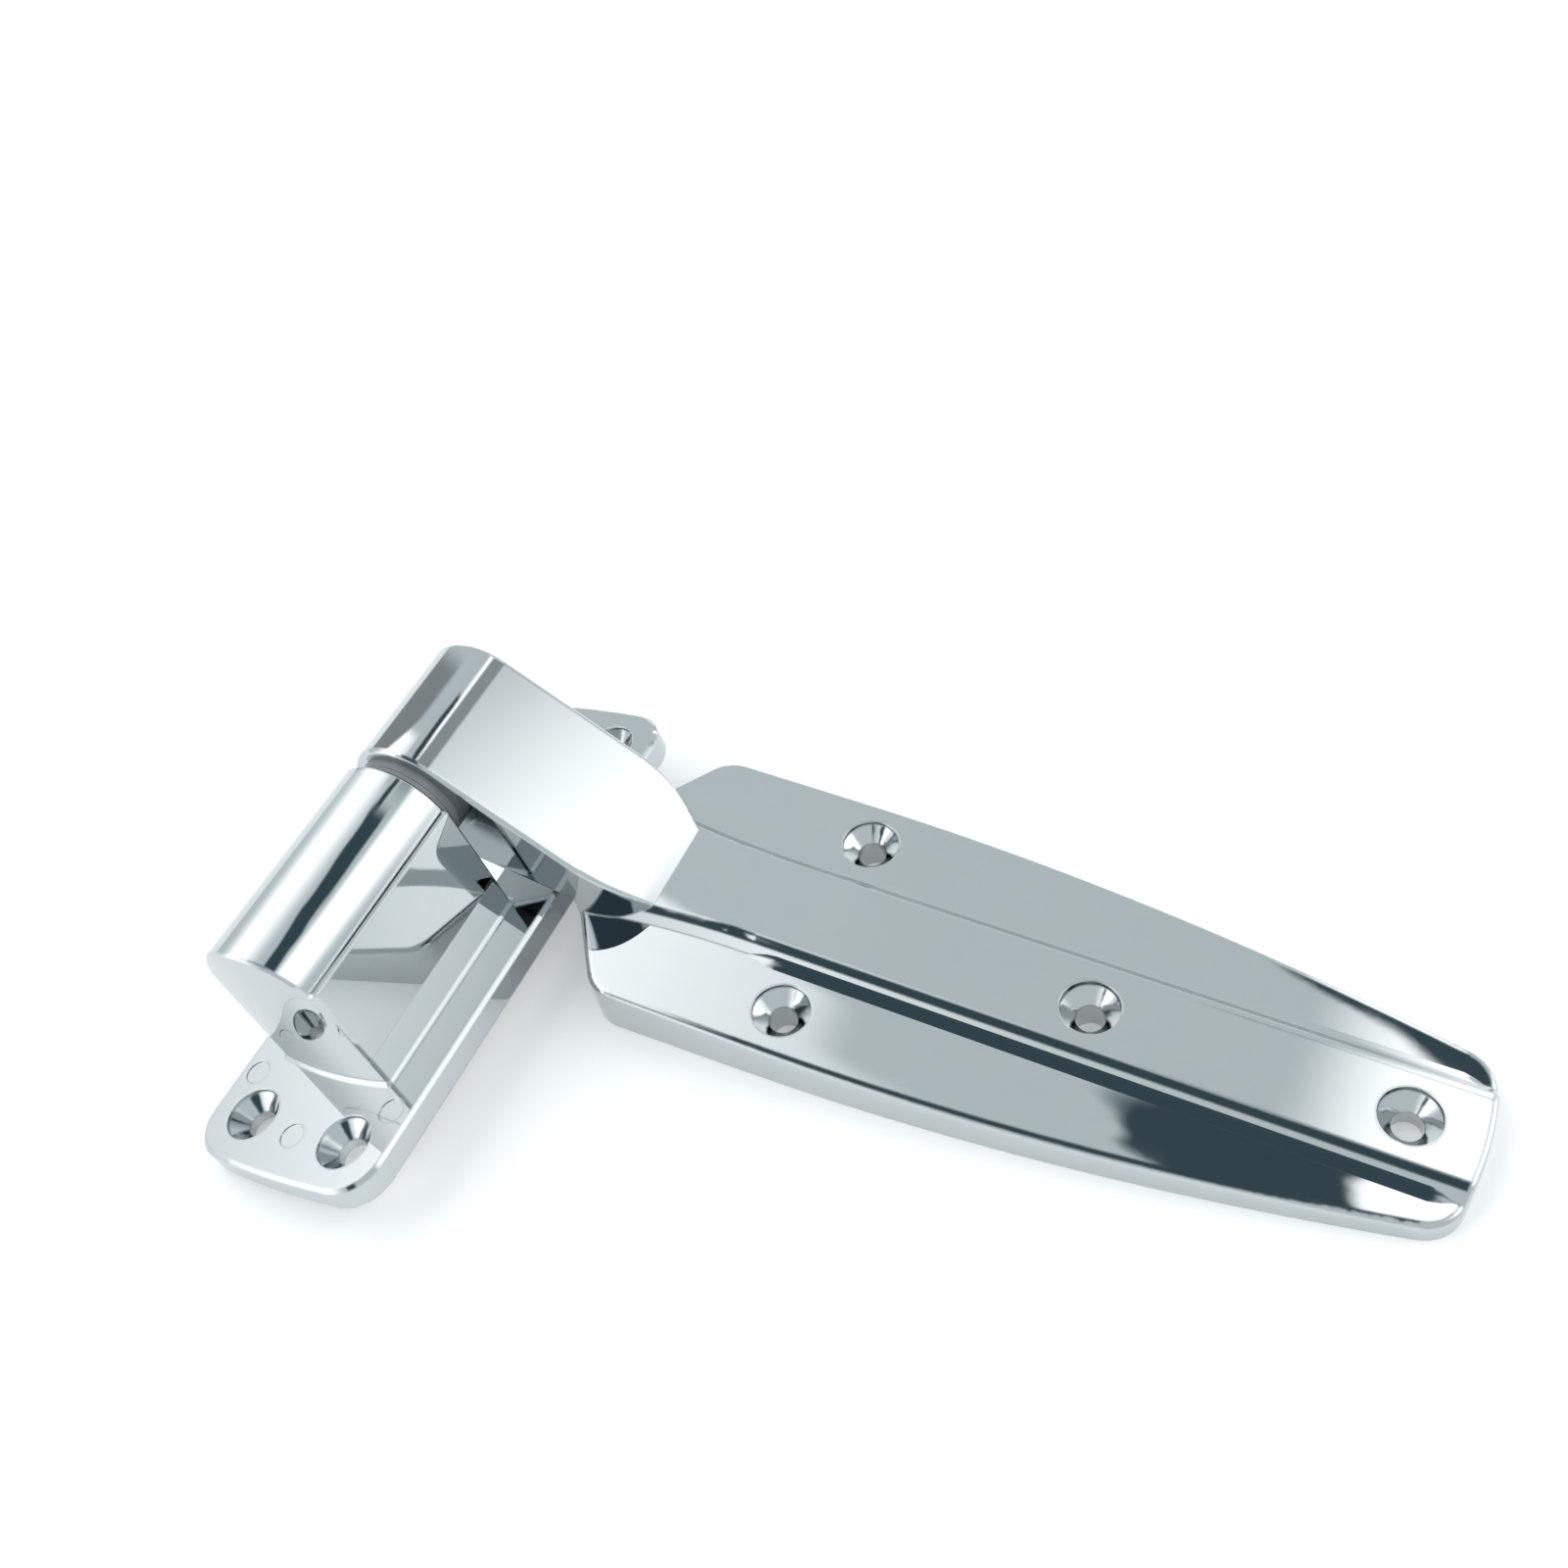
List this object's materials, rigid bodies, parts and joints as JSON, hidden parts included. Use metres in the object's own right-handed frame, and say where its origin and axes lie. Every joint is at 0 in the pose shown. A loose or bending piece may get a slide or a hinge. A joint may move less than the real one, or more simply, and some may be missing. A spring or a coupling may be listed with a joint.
{
  "type": "flap hinge",
  "caption": "Chromed lift-off flap hinge: a long tapered strap cranked up to a knuckle that turns on a pin standing in the barrel of a screw-on flange.",
  "frame": {"origin": "midway between the two wing screws of the strap, on the strap's back", "axes": "+X along the strap from the hinge axis to the tip, +Y along the hinge pin from flange barrel to strap knuckle, +Z out of the strap's face"},
  "size_m": [0.2548, 0.141, 0.055],
  "materials": {
    "chrome_plating": "polished",
    "pin_steel": "ground",
    "bearing_plastic": "moulded"
  },
  "bodies": {
    "flange_body": {"flange": "chrome_plating", "hinge_pin": "pin_steel", "thrust_washer": "bearing_plastic"},
    "strap_body": {"strap": "chrome_plating", "bearing_bush": "bearing_plastic"}
  },
  "joints": [
    {"name": "strap_swing", "type": "hinge", "parent": "flange_body", "child": "strap_body", "pos_m": [-0.0925, 0, 0.04], "axis": [0, -1, 0], "range_deg": [0, 192.8]}
  ]
}
